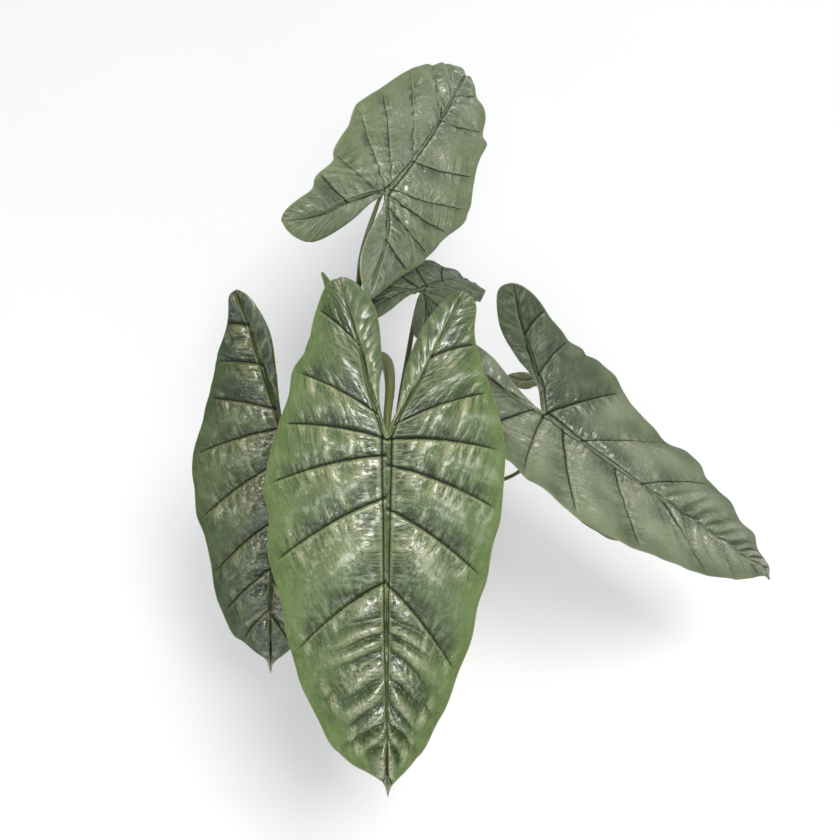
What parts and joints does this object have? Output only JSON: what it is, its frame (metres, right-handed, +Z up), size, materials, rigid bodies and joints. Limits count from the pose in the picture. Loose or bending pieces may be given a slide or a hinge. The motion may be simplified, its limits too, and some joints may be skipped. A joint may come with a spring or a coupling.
{
  "type": "potted alocasia heterophylla",
  "caption": "Young house plant with quilted arrow-shaped leaves on arching stalks and a rolled new leaf, growing from a short crown in a plain round pot.",
  "frame": {"origin": "middle of the pot's foot, on the surface that it stands on", "axes": "+Z up, -Y the front, towards which the largest leaf points, and +X to the plant's left as it faces the viewer, where the right-hand leaf of the picture points"},
  "size_m": [0.4191, 0.5922, 0.3624],
  "materials": {
    "pot": "satin dark grey moulded plastic",
    "potting_mix": "loose bark, coir and pale mineral grains",
    "crown": "dull, ringed by old sheath scars",
    "spear": "smooth waxy olive green",
    "stalk": "smooth, finely streaked olive brown",
    "blade_front": "glossy mid green with yellow-green margins, quilted between its veins",
    "blade_left": "semi-gloss dark green with a bronze sheen, quilted",
    "blade_right": "satin grey-green, quilted",
    "blade_back": "satin pale grey-green with fine dark veins",
    "blade_small": "satin dark green",
    "blade_low": "satin dark green"
  },
  "bodies": {
    "root": {"pot": "pot", "potting_mix": "potting_mix", "crown": "crown", "new_leaf_spear": "spear", "leaf_front_blade": "blade_front", "leaf_front_stalk": "stalk", "leaf_left_blade": "blade_left", "leaf_left_stalk": "stalk", "leaf_right_blade": "blade_right", "leaf_right_stalk": "stalk", "leaf_back_blade": "blade_back", "leaf_back_stalk": "stalk", "leaf_small_blade": "blade_small", "leaf_small_stalk": "stalk", "leaf_low_blade": "blade_low", "leaf_low_stalk": "stalk"}
  },
  "joints": []
}
